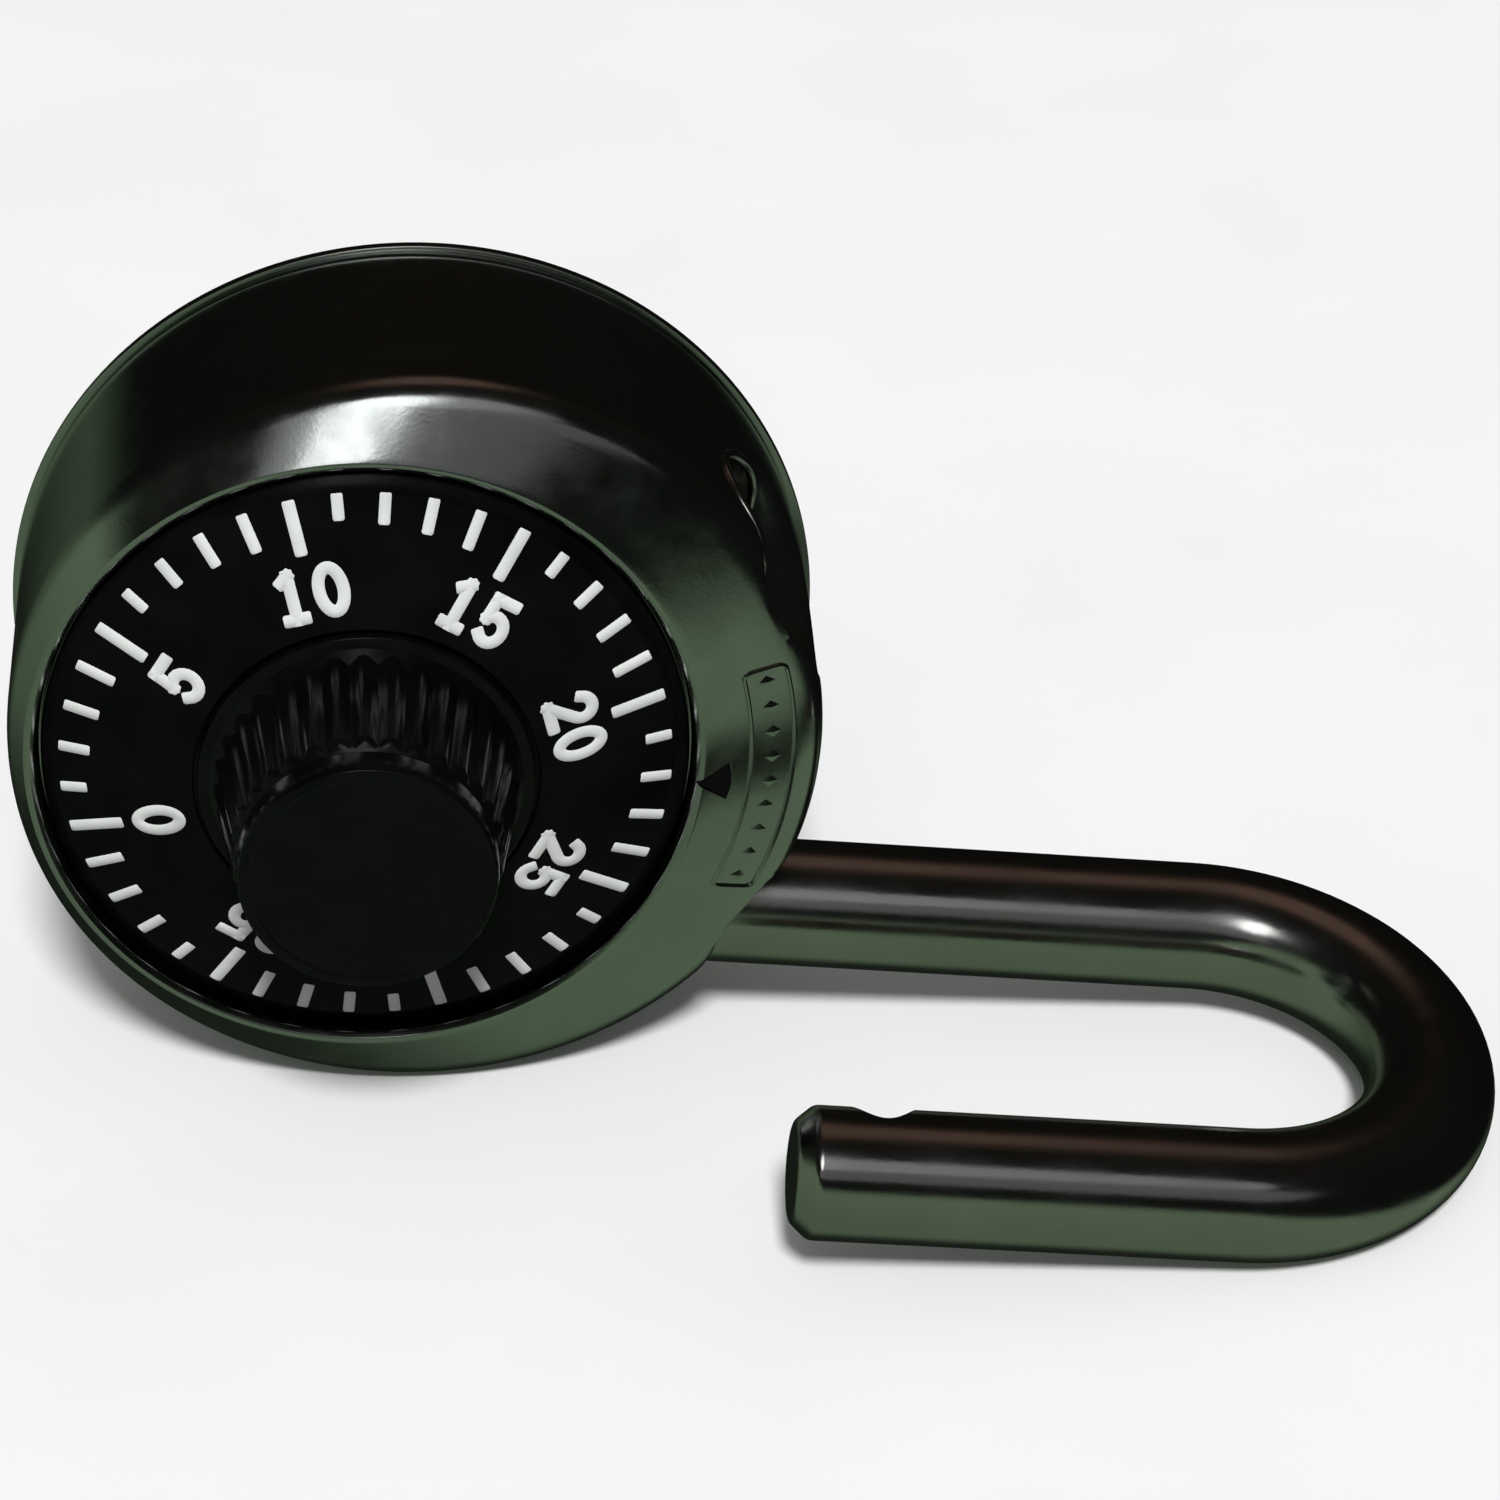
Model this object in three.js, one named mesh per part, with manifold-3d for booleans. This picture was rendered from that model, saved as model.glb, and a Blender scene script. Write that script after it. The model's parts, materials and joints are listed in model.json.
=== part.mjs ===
// Combination padlock with a round steel case, a turning dial and a bent-bar shackle.
//
// Frame: millimetres, +Z up. The origin is the centre of the flat back face, +Y points out of the
// back, the dial faces -Y and the shackle leaves the case along +X. The lock stands on its round
// edge with the shackle unlocked, drawn out and swung forward.

import * as THREE from 'three';
import { mergeVertices } from 'three/addons/utils/BufferGeometryUtils.js';
import Module from 'manifold-3d';

const wasm = await Module();
wasm.setup();

// ---------------------------------------------------------------- driving dimensions

const GAP = 0.3; // air between neighbouring pieces
const SIDES = 64; // facets round the case and the dial
const FINE = 24; // facets round the small turned pieces

const CASE_R = 24; // the drum
const WALL = 1.1; // sheet thickness of the drum
const CASE_BACK = -1.3; // rear edge of the drum
const SHOULDER_Y = -17.2; // where the drum turns into the bevel
const RIM_Y = -19.8; // top of the bezel rim
const COVER_R = 24.4; // rear cover, proud of the drum all round
const COVER_T = 1.0;

const DIAL_X = -3.0; // the dial sits off centre, away from the shackle
const RIM_R = 19.9; // outside of the bezel rim round the dial
const WELL_R = 19.25; // the well that the dial turns in
const WELL_FLOOR = -17.7;
const WELL_T = 0.8;

const DIAL_R = 18.95;
const MARK_R = 17.9; // where the cone of the dial starts
const MARK_Y = -19.4;
const CONE_SLOPE = 0.29; // rise of the cone towards the knob
const SEAT_R = 10.1; // the seat of the knob in the dial

const FLANGE_R = 9.8; // collar at the foot of the knob
const FLANGE_Y = -22.0;
const KNURL_FOOT_R = 8.9;
const KNURL_TOP_R = 7.75;
const KNURL_TOP_Y = -29.9;
const FLUTES = 32;
const FLUTE_DEPTH = 0.4;
const CAP_R = 7.45;
const CAP_Y = -32.3; // front face of the knob

const LEG_Y = -12; // both legs of the shackle lie in this plane when it is shut
const LEG_SPACING = 26;
const BAR_R = 3.9;
const HOLE_R = 4.25;
const LAND_X = 19; // flat floor of the dished land round each shackle hole
const LAND_R = 7;
const CROWN_X = 48.9; // where the legs turn into the crown, shackle drawn out
const TOE_X = 22.4; // tip of the short leg, shackle drawn out
const HEEL_X = 1.5; // end of the long leg, shackle drawn out
const SWING = 93.3; // degrees that the shackle is swung forward
const TRAVEL = 13; // how far the shackle slides in when it shuts
const NOTCH_X = 27.5; // middle of the latch notch, shackle drawn out
const NOTCH_DEPTH = 1.5;
const NOTCH_W = 3.0;
const NOTCH_TURN = 30; // degrees that the notch faces back from the inside of the leg

const SPINDLE_R = 2.5;
const WHEEL_R = 10.4;
const GATE_DEPTH = 2.0;
const GATE_W = 2.6;
const FENCE_ANGLE = 75; // degrees up from +X, seen from the dial side
const CAM_GATES = 12; // the true notch of the drive cam and eleven more like it
const CAM_Y = -5.6; // rear face of the drive cam, and then of each wheel
const MIDDLE_Y = -3.9;
const BACK_Y = -2.2;
const CAM_T = 1.0;
const WHEEL_T = 0.8;
const POST_R = 2.9;
const TAB_T = 0.6; // pick-up tabs on the wheels
const TAB_SPAN = 14; // degrees

const PLATE_Y = -1.35; // rear face of the mechanism plate
const PLATE_T = 0.6;
const PLATE_R = 21.3;

const PIVOT_X = -10.8; // pivot of the locking lever
const PIVOT_Z = 13.5;
const PIN_R = 1.0;
const LEVER_Y = -4.4; // rear face of the lever
const LEVER_T = 1.0;
const LATCH_X = NOTCH_X - TRAVEL; // the latch stands where the notch comes when the lock is shut
const LATCH_W = 2.8;
const LATCH_SEAT_Z = -1.6; // top of the lever's foot, where the latch spring stands
const PAWL_FOOT_Z = 4.5;

const HEEL_Z = -LEG_SPACING / 2;
const TOE_Z = LEG_SPACING / 2;

// ---------------------------------------------------------------- materials

function material(color, roughness, metalness) {
  return new THREE.MeshStandardMaterial({ color, roughness, metalness });
}

const polishedSteel = material(0x9aa39c, 0.12, 1.0);
const hardenedSteel = material(0x8f8d8c, 0.15, 1.0);
const plateSteel = material(0xb4b6b8, 0.35, 1.0);
const springSteel = material(0x8c8f94, 0.3, 1.0);
const brass = material(0xc9a24d, 0.3, 1.0);
const zinc = material(0xa9acae, 0.4, 1.0);
const blackPlastic = material(0x0b0b0c, 0.25, 0.0);

// ---------------------------------------------------------------- solids

// A closed three.js geometry as a manifold solid, facing out.
function solid(geometry) {
  const bare = geometry.clone();
  bare.deleteAttribute('normal');
  bare.deleteAttribute('uv');
  const merged = mergeVertices(bare, 1e-4);
  const position = merged.attributes.position;
  const index = merged.index.array;
  const corner = [new THREE.Vector3(), new THREE.Vector3(), new THREE.Vector3()];
  const triangles = [];
  let volume = 0;
  for (let i = 0; i < index.length; i += 3) {
    const [a, b, c] = index.slice(i, i + 3);
    if (a === b || b === c || c === a) continue;
    triangles.push(a, b, c);
    corner.forEach((v, n) => v.fromBufferAttribute(position, [a, b, c][n]));
    volume += corner[0].dot(corner[1].cross(corner[2]));
  }
  if (volume < 0) triangles.reverse();
  return new wasm.Manifold(new wasm.Mesh({
    numProp: 3,
    vertProperties: new Float32Array(position.array),
    triVerts: new Uint32Array(triangles),
  }));
}

// A manifold solid as a named mesh.
function piece(name, body, look) {
  const { vertProperties, triVerts } = body.getMesh();
  const geometry = new THREE.BufferGeometry();
  geometry.setAttribute('position', new THREE.BufferAttribute(vertProperties, 3));
  geometry.setIndex(new THREE.BufferAttribute(triVerts, 1));
  geometry.computeVertexNormals();
  const mesh = new THREE.Mesh(geometry, look);
  mesh.name = name;
  return mesh;
}

function points(list) {
  return list.map(([r, y]) => new THREE.Vector2(r, y));
}

// A turned solid about the Y axis. The outline is a list of [radius, y].
function turned(outline, sides = FINE) {
  return solid(new THREE.LatheGeometry(points(outline), sides));
}

// A ring about the Y axis between two radii.
function ring(inner, outer, y0, y1, sides = FINE) {
  return turned([[inner, y0], [outer, y0], [outer, y1], [inner, y1], [inner, y0]], sides);
}

// A disc or shaft about the Y axis.
function disc(radius, y0, y1, sides = FINE) {
  return turned([[0, y0], [radius, y0], [radius, y1], [0, y1]], sides);
}

// The same solids with their axis along X, through the given y and z.
function alongX(body, y, z) {
  return body.rotate([0, 0, -90]).translate([0, y, z]);
}

// A flat shape drawn in X and Z, with its rear face at y and its thickness towards the dial.
function plate(shape, y, thickness, curveSegments = 12) {
  const geometry = new THREE.ExtrudeGeometry(shape, {
    depth: thickness,
    bevelEnabled: false,
    curveSegments,
  });
  geometry.rotateX(Math.PI / 2);
  geometry.translate(0, y, 0);
  return solid(geometry);
}

function box(x0, x1, y0, y1, z0, z1) {
  const geometry = new THREE.BoxGeometry(x1 - x0, y1 - y0, z1 - z0);
  geometry.translate((x0 + x1) / 2, (y0 + y1) / 2, (z0 + z1) / 2);
  return solid(geometry);
}

// A coil spring of round wire about the Y axis, with a straight tail at its front end.
function coil(radius, wire, turns, y0, y1, tail = 0, stepsPerTurn = 12) {
  const winding = 2 * Math.PI * radius * turns;
  class Helix extends THREE.Curve {
    getPoint(t, target = new THREE.Vector3()) {
      const along = t * (tail + winding) - tail;
      const angle = Math.max(along, 0) / radius;
      const y = y0 + wire + (y1 - y0 - 2 * wire) * (Math.max(along, 0) / winding);
      return target.set(radius * Math.cos(angle), y, radius * Math.sin(angle) + Math.min(along, 0));
    }
  }
  const section = new THREE.Shape();
  section.absarc(0, 0, wire, 0, 2 * Math.PI);
  return solid(new THREE.ExtrudeGeometry(section, {
    steps: Math.round(turns * stepsPerTurn * (1 + tail / winding)),
    curveSegments: 3,
    extrudePath: new Helix(),
  }));
}

// ---------------------------------------------------------------- case

// Slides the outline sideways as it narrows, so that the drum at radius `wide` runs into a rim of
// radius `narrow` round the off-centre dial.
function leanedDrum(outline, wide, narrow, fromY) {
  const geometry = new THREE.LatheGeometry(outline, SIDES);
  const position = geometry.attributes.position;
  for (let i = 0; i < position.count; i += 1) {
    if (position.getY(i) > fromY) continue;
    const radius = Math.hypot(position.getX(i), position.getZ(i));
    const lean = THREE.MathUtils.clamp((wide - radius) / (wide - narrow), 0, 1);
    position.setX(i, position.getX(i) + DIAL_X * lean);
  }
  return solid(geometry);
}

// Outside of the case: drum, rounded shoulder, bevel and the bead of the rim.
function caseOutside() {
  const outline = new THREE.Path();
  outline.moveTo(0, CASE_BACK);
  outline.lineTo(CASE_R, CASE_BACK);
  outline.lineTo(CASE_R, SHOULDER_Y + 0.9);
  outline.quadraticCurveTo(CASE_R, SHOULDER_Y - 0.15, CASE_R - 0.9, SHOULDER_Y - 0.7);
  outline.lineTo(RIM_R + 1.0, RIM_Y + 0.65);
  outline.quadraticCurveTo(RIM_R + 0.3, RIM_Y + 0.3, RIM_R, RIM_Y + 0.1);
  outline.quadraticCurveTo(RIM_R - 0.15, RIM_Y, RIM_R - 0.3, RIM_Y);
  outline.lineTo(0, RIM_Y);
  return leanedDrum(outline.getPoints(3), CASE_R, RIM_R, SHOULDER_Y + 0.95);
}

// Room inside the case, one sheet thickness in from the outside.
function caseInside() {
  const radius = CASE_R - WALL;
  const outline = new THREE.Path();
  outline.moveTo(0, 1);
  outline.lineTo(radius, 1);
  outline.lineTo(radius, SHOULDER_Y + 1.5);
  outline.quadraticCurveTo(radius, SHOULDER_Y + 0.7, radius - 0.6, SHOULDER_Y + 0.25);
  outline.lineTo(RIM_R + 0.5, RIM_Y + 1.8);
  outline.lineTo(0, RIM_Y + 1.8);
  return leanedDrum(outline.getPoints(2), radius, RIM_R - 0.9, SHOULDER_Y + 1.55);
}

function indexRecess() {
  const tip = DIAL_X + RIM_R;
  const shape = new THREE.Shape();
  shape.moveTo(tip, 0);
  shape.lineTo(tip + 2, -1.3);
  shape.quadraticCurveTo(tip + 2.2, 0, tip + 2, 1.3);
  shape.closePath();
  return plate(shape, RIM_Y + 1.05, 3);
}

function caseShell() {
  const sockets = [HEEL_Z, TOE_Z];
  const wellCup = disc(WELL_R + WALL, WELL_FLOOR + WELL_T, -30, SIDES).translate([DIAL_X, 0, 0]);
  let room = caseInside().subtract(wellCup);
  for (const z of sockets) {
    room = room.subtract(alongX(disc(LAND_R + WALL, LAND_X - WALL, 40), LEG_Y, z));
  }
  const well = turned([
    [0, WELL_FLOOR],
    [WELL_R, WELL_FLOOR],
    [WELL_R, RIM_Y + 0.3],
    [WELL_R + 0.4, RIM_Y - 0.1],
    [0, RIM_Y - 0.1],
  ], SIDES);
  let shell = caseOutside().subtract(room);
  shell = shell.subtract(well.translate([DIAL_X, 0, 0]));
  shell = shell.subtract(disc(3.9, -30, 0).translate([DIAL_X, 0, 0]));
  for (const z of sockets) {
    const land = turned([[0, LAND_X], [LAND_R - 0.6, LAND_X], [LAND_R + 0.4, LAND_X + 1.2],
      [LAND_R + 1.2, 40], [0, 40]]);
    shell = shell.subtract(alongX(land, LEG_Y, z));
    shell = shell.subtract(alongX(disc(HOLE_R, 5, 40), LEG_Y, z));
  }
  return piece('case_shell', shell.subtract(indexRecess()), polishedSteel);
}

function backCover() {
  const body = turned([
    [0, 0],
    [COVER_R - 0.6, 0],
    [COVER_R - 0.15, -0.15],
    [COVER_R, -0.5],
    [COVER_R - 0.1, -COVER_T],
    [CASE_R - WALL - 0.4, -COVER_T],
    [CASE_R - WALL - 0.4, -3.2],
    [PLATE_R + 0.4, -3.2],
    [PLATE_R + 0.4, -COVER_T],
    [0, -COVER_T],
  ], SIDES);
  return piece('back_cover', body, polishedSteel);
}

// ---------------------------------------------------------------- dial and knob

function dialDisc() {
  const seatY = MARK_Y - CONE_SLOPE * (MARK_R - SEAT_R);
  const backY = WELL_FLOOR - GAP;
  const body = turned([
    [SPINDLE_R + GAP, backY],
    [5, backY],
    [5, seatY + 1.6],
    [SEAT_R - 0.5, seatY + 1.6],
    [MARK_R - 1, MARK_Y + 1],
    [MARK_R - 1, backY],
    [DIAL_R - 0.4, backY],
    [DIAL_R, backY - 0.3],
    [DIAL_R, MARK_Y + 0.9],
    [MARK_R + 0.2, MARK_Y + 0.05],
    [MARK_R, MARK_Y],
    [SEAT_R, seatY],
    [SEAT_R, seatY + 0.5],
    [SPINDLE_R + GAP, seatY + 0.5],
    [SPINDLE_R + GAP, backY],
  ], SIDES);
  return piece('dial_disc', body.translate([DIAL_X, 0, 0]), blackPlastic);
}

// The tapered, fluted grip: a scalloped outline drawn out along the axis and narrowed to the front.
function knurledGrip() {
  const outline = new THREE.Shape();
  const perFlute = 4;
  for (let i = 0; i < FLUTES * perFlute; i += 1) {
    const angle = (2 * Math.PI * i) / (FLUTES * perFlute);
    const hollow = Math.abs(Math.sin((FLUTES * angle) / 2));
    const radius = KNURL_FOOT_R - FLUTE_DEPTH * (1 - hollow);
    const move = i === 0 ? 'moveTo' : 'lineTo';
    outline[move](radius * Math.cos(angle), radius * Math.sin(angle));
  }
  const length = FLANGE_Y + 0.2 - KNURL_TOP_Y;
  const geometry = new THREE.ExtrudeGeometry(outline, { depth: length, bevelEnabled: false });
  const position = geometry.attributes.position;
  for (let i = 0; i < position.count; i += 1) {
    const along = position.getZ(i) / length;
    const scale = THREE.MathUtils.lerp(1, KNURL_TOP_R / KNURL_FOOT_R, along);
    position.setXY(i, position.getX(i) * scale, position.getY(i) * scale);
  }
  geometry.rotateX(Math.PI / 2);
  geometry.translate(0, FLANGE_Y + 0.2, 0);
  return solid(geometry);
}

function knob() {
  const flange = turned([
    [0, FLANGE_Y + 0.55],
    [FLANGE_R, FLANGE_Y + 0.55],
    [FLANGE_R, FLANGE_Y + 0.15],
    [FLANGE_R - 0.2, FLANGE_Y],
    [0, FLANGE_Y],
  ], SIDES);
  const neck = disc(KNURL_TOP_R - 0.45, KNURL_TOP_Y + 0.5, KNURL_TOP_Y - 0.2);
  const bore = disc(SPINDLE_R + GAP, -20, -27.2);
  const socket = disc(5.3, KNURL_TOP_Y + 1.6, -35);
  const body = flange.add(knurledGrip()).add(neck).subtract(bore).subtract(socket);
  return piece('knob', body.translate([DIAL_X, 0, 0]), blackPlastic);
}

function knobCap() {
  const foot = KNURL_TOP_Y - 0.2 - GAP;
  const body = turned([
    [0, KNURL_TOP_Y + 1.3],
    [5, KNURL_TOP_Y + 1.3],
    [5, foot],
    [CAP_R, foot],
    [CAP_R - 0.05, CAP_Y + 0.6],
    [CAP_R - 0.2, CAP_Y + 0.2],
    [CAP_R - 0.55, CAP_Y],
    [0, CAP_Y],
  ], SIDES);
  return piece('knob_cap', body.translate([DIAL_X, 0, 0]), blackPlastic);
}

function dialSpindle() {
  const body = turned([
    [0, CAM_Y - 0.05],
    [SPINDLE_R, CAM_Y - 0.05],
    [SPINDLE_R, -12.2],
    [1.8, -12.2],
    [1.8, -13.2],
    [SPINDLE_R, -13.2],
    [SPINDLE_R, -26.9],
    [0, -26.9],
  ]);
  return piece('dial_spindle', body.translate([DIAL_X, 0, 0]), zinc);
}

function dialBushing() {
  const front = WELL_FLOOR + 0.1;
  const body = turned([
    [SPINDLE_R + 0.2, front],
    [3.6, front],
    [3.6, WELL_FLOOR + WELL_T + GAP],
    [5.2, WELL_FLOOR + WELL_T + GAP],
    [5.2, WELL_FLOOR + WELL_T + GAP + 1],
    [3.6, WELL_FLOOR + WELL_T + GAP + 1],
    [3.6, -14.2],
    [SPINDLE_R + 0.2, -14.2],
    [SPINDLE_R + 0.2, front],
  ]);
  return piece('dial_bushing', body.translate([DIAL_X, 0, 0]), brass);
}

// A dished spring washer that puts a light drag on the dial.
function spindleWasher() {
  const body = turned([
    [SPINDLE_R + GAP, -13.45],
    [5, -13.75],
    [5, -13.95],
    [SPINDLE_R + GAP, -13.65],
    [SPINDLE_R + GAP, -13.45],
  ]);
  return piece('spindle_washer', body.translate([DIAL_X, 0, 0]), springSteel);
}

// An open ring that snaps into a groove: inner and outer radius, rear face and thickness.
function snapRing(inner, outer, y, thickness, opening) {
  const gap = THREE.MathUtils.degToRad(opening / 2);
  const shape = new THREE.Shape();
  shape.absarc(0, 0, outer, gap, 2 * Math.PI - gap, false);
  shape.absarc(0, 0, inner, 2 * Math.PI - gap, gap, true);
  shape.closePath();
  return plate(shape, y, thickness);
}

function spindleClip() {
  const body = snapRing(2.1, 4.4, -12.4, 0.6, 70);
  return piece('spindle_clip', body.translate([DIAL_X, 0, 0]), springSteel);
}

// ---------------------------------------------------------------- wheel pack

// A disc with notches in its rim. Notches are given by their angle in degrees.
function notchedDisc(gates, y, thickness, bore) {
  let body = ring(bore, WHEEL_R, y, y - thickness, 48);
  for (const angle of gates) {
    const gate = box(WHEEL_R - GATE_DEPTH, WHEEL_R + 1, y - thickness - 1, y + 1,
      -GATE_W / 2, GATE_W / 2);
    body = body.subtract(gate.rotate([0, -angle, 0]));
  }
  return body;
}

// A pick-up tab standing on a face of a wheel, centred on an angle in degrees.
function tab(angle, y0, y1) {
  const half = THREE.MathUtils.degToRad(TAB_SPAN / 2);
  const shape = new THREE.Shape();
  shape.absarc(0, 0, 8.1, -half, half, false);
  shape.absarc(0, 0, 6.6, half, -half, true);
  shape.closePath();
  return plate(shape, Math.max(y0, y1), Math.abs(y1 - y0), 6).rotate([0, -angle, 0]);
}

const CAM_TAB = 200; // where each pick-up tab stands at rest, in degrees up from +X
const MIDDLE_FRONT_TAB = CAM_TAB + 105;
const MIDDLE_REAR_TAB = 150;
const BACK_TAB = MIDDLE_REAR_TAB + 15;

function driveCam() {
  const gates = [];
  for (let i = 0; i < CAM_GATES; i += 1) gates.push(FENCE_ANGLE + (360 / CAM_GATES) * i);
  const hub = ring(SPINDLE_R + GAP, 4.2, CAM_Y - 0.5, CAM_Y - 2.9);
  const body = notchedDisc(gates, CAM_Y, CAM_T, SPINDLE_R + GAP)
    .add(hub)
    .add(tab(CAM_TAB, CAM_Y - 0.2, CAM_Y + TAB_T));
  return piece('drive_cam', body.translate([DIAL_X, 0, 0]), brass);
}

function middleWheel() {
  const front = MIDDLE_Y - WHEEL_T;
  const body = notchedDisc([FENCE_ANGLE], MIDDLE_Y, WHEEL_T, POST_R + GAP)
    .add(tab(MIDDLE_FRONT_TAB, front + 0.2, front - TAB_T))
    .add(tab(MIDDLE_REAR_TAB, MIDDLE_Y - 0.2, MIDDLE_Y + TAB_T));
  return piece('middle_wheel', body.translate([DIAL_X, 0, 0]), brass);
}

function backWheel() {
  const front = BACK_Y - WHEEL_T;
  const body = notchedDisc([FENCE_ANGLE], BACK_Y, WHEEL_T, POST_R + GAP)
    .add(tab(BACK_TAB, front + 0.2, front - TAB_T));
  return piece('back_wheel', body.translate([DIAL_X, 0, 0]), brass);
}

function wheelPost() {
  const body = disc(POST_R, CAM_Y + GAP, PLATE_Y);
  return piece('wheel_post', body.translate([DIAL_X, 0, 0]), zinc);
}

function wheelRetainer() {
  const body = snapRing(POST_R + 0.2, 5, MIDDLE_Y - WHEEL_T - GAP, 0.3, 40);
  return piece('wheel_retainer', body.translate([DIAL_X, 0, 0]), springSteel);
}

function wheelSpacer() {
  const y = BACK_Y - WHEEL_T - GAP;
  const body = ring(POST_R + 0.2, 5, y, y - 0.3);
  return piece('wheel_spacer', body.translate([DIAL_X, 0, 0]), zinc);
}

// ---------------------------------------------------------------- locking lever and latch

function mechanismPlate() {
  let body = disc(PLATE_R, PLATE_Y, PLATE_Y - PLATE_T, 48);
  body = body.subtract(disc(POST_R + GAP, -5, 0).translate([DIAL_X, 0, 0]));
  body = body.subtract(disc(PIN_R + GAP, -5, 0, 20).translate([PIVOT_X, 0, PIVOT_Z]));
  for (const [x, z] of POSTS) {
    body = body.subtract(disc(1.3, -5, 0, 20).translate([x, 0, z]));
  }
  return piece('mechanism_plate', body, plateSteel);
}

// The lever: an arched arm over the wheels, the fence bar, and the carrier of the latch.
function lockingLever() {
  const arm = new THREE.Shape();
  arm.moveTo(PIVOT_X - 1.8, PIVOT_Z - 1.9);
  arm.quadraticCurveTo(PIVOT_X - 3.2, PIVOT_Z, PIVOT_X - 1.8, PIVOT_Z + 1.9);
  arm.quadraticCurveTo(PIVOT_X, PIVOT_Z + 3, PIVOT_X + 3, PIVOT_Z + 2.6);
  arm.quadraticCurveTo(4, 16.6, 17.2, 12.6);
  arm.lineTo(17.2, -2.6);
  arm.lineTo(12.6, -2.6);
  arm.lineTo(12.6, 9.4);
  arm.quadraticCurveTo(4, 13.4, -4, 12.6);
  arm.quadraticCurveTo(-8, 11.8, PIVOT_X + 0.6, PIVOT_Z - 2.5);
  arm.closePath();
  const pivotHole = disc(PIN_R + 0.2, -8, 0, 20).translate([PIVOT_X, 0, PIVOT_Z]);
  const slot = box(LATCH_X - 1, LATCH_X + 1, -8, 0, 2.8, 7);
  const foot = box(13, 16.4, -10.6, LEVER_Y - 0.3, LATCH_SEAT_Z - 1, LATCH_SEAT_Z);
  const fenceFoot = WHEEL_R + 0.5;
  const fence = box(fenceFoot, fenceFoot + 3, -6.7, -2.3, -0.8, 0.8)
    .rotate([0, -FENCE_ANGLE, 0])
    .translate([DIAL_X, 0, 0]);
  const body = plate(arm, LEVER_Y, LEVER_T)
    .subtract(pivotHole)
    .subtract(slot)
    .add(foot)
    .add(fence);
  return piece('locking_lever', body, plateSteel);
}

function leverPivotPin() {
  const body = disc(PIN_R, PLATE_Y, -6.6, 20);
  return piece('lever_pivot_pin', body.translate([PIVOT_X, 0, PIVOT_Z]), hardenedSteel);
}

function leverClip() {
  const body = snapRing(PIN_R + 0.15, 2.5, -5.75, 0.5, 60);
  return piece('lever_clip', body.translate([PIVOT_X, 0, PIVOT_Z]), springSteel);
}

// Torsion spring round the pivot pin, with a straight tail towards the drum.
function leverSpring() {
  const body = coil(PIN_R + 0.8, 0.25, 2.5, LEVER_Y + GAP, PLATE_Y - PLATE_T - GAP, 4);
  const turnedUp = body.rotate([0, 120, 0]);
  return piece('lever_spring', turnedUp.translate([PIVOT_X, 0, PIVOT_Z]), springSteel);
}

// The latch: a block in front of the lever whose slanted nose enters the shackle's notch.
function latchPawl() {
  const side = new THREE.Shape();
  side.moveTo(-11.6, PAWL_FOOT_Z);
  side.lineTo(-5.8, PAWL_FOOT_Z);
  side.lineTo(-5.8, 7.6);
  side.lineTo(-8.8, 7.6);
  side.lineTo(-8.8, 11.4);
  side.lineTo(-11.6, 9.9);
  side.closePath();
  const geometry = new THREE.ExtrudeGeometry(side, { depth: LATCH_W, bevelEnabled: false });
  geometry.rotateX(Math.PI / 2);
  geometry.rotateZ(Math.PI / 2);
  geometry.translate(LATCH_X - LATCH_W / 2, 0, 0);
  const ramp = box(0, 4, -14, -4, 0, 4).rotate([0, 40, 0]).translate([LATCH_X + 0.2, 0, 11.6]);
  const bore = disc(1, -5, -9.4, 20).translate([LATCH_X, 0, 6]);
  return piece('latch_pawl', solid(geometry).subtract(ramp).subtract(bore), hardenedSteel);
}

function latchRivet() {
  const body = turned([
    [0, -3.4],
    [1.3, -3.4],
    [1.6, -3.6],
    [1.6, LEVER_Y + GAP],
    [0.7, LEVER_Y + GAP],
    [0.7, -9.1],
    [0, -9.1],
  ], 20);
  return piece('latch_rivet', body.translate([LATCH_X, 0, 6]), zinc);
}

function latchSpring() {
  const body = coil(1.25, 0.22, 5, LATCH_SEAT_Z + GAP, PAWL_FOOT_Z - GAP).rotate([90, 0, 0]);
  return piece('latch_spring', body.translate([LATCH_X, -8.6, 0]), springSteel);
}

// ---------------------------------------------------------------- shackle

// The bar is turned straight, with its groove and chamfers, and then bent into a U.
function bentBar() {
  const heelLength = CROWN_X - HEEL_X;
  const toeLength = CROWN_X - TOE_X;
  const bend = LEG_SPACING / 2;
  const bendLength = Math.PI * bend;
  const total = heelLength + bendLength + toeLength;
  const outline = [[0, 0], [BAR_R - 0.6, 0], [BAR_R, 0.6], [BAR_R, 1], [2.9, 1], [2.9, 2.7],
    [BAR_R, 2.7], [BAR_R, heelLength]];
  const bends = 24;
  for (let i = 1; i <= bends; i += 1) {
    outline.push([BAR_R, heelLength + (bendLength * i) / bends]);
  }
  outline.push([BAR_R, total - 0.9], [BAR_R - 0.25, total - 0.3], [BAR_R - 0.7, total], [0, total]);
  const geometry = new THREE.LatheGeometry(points(outline), 20);
  const position = geometry.attributes.position;
  for (let i = 0; i < position.count; i += 1) {
    const across = position.getX(i); // towards the other leg
    const along = position.getY(i);
    const depth = position.getZ(i);
    const turn = THREE.MathUtils.clamp((along - heelLength) / bendLength, 0, 1) * Math.PI;
    const before = Math.min(along, heelLength);
    const after = Math.max(0, along - heelLength - bendLength);
    const radius = bend - across;
    position.setXYZ(
      i,
      HEEL_X + before + radius * Math.sin(turn) - after,
      depth,
      bend - radius * Math.cos(turn),
    );
  }
  return solid(geometry);
}

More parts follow.
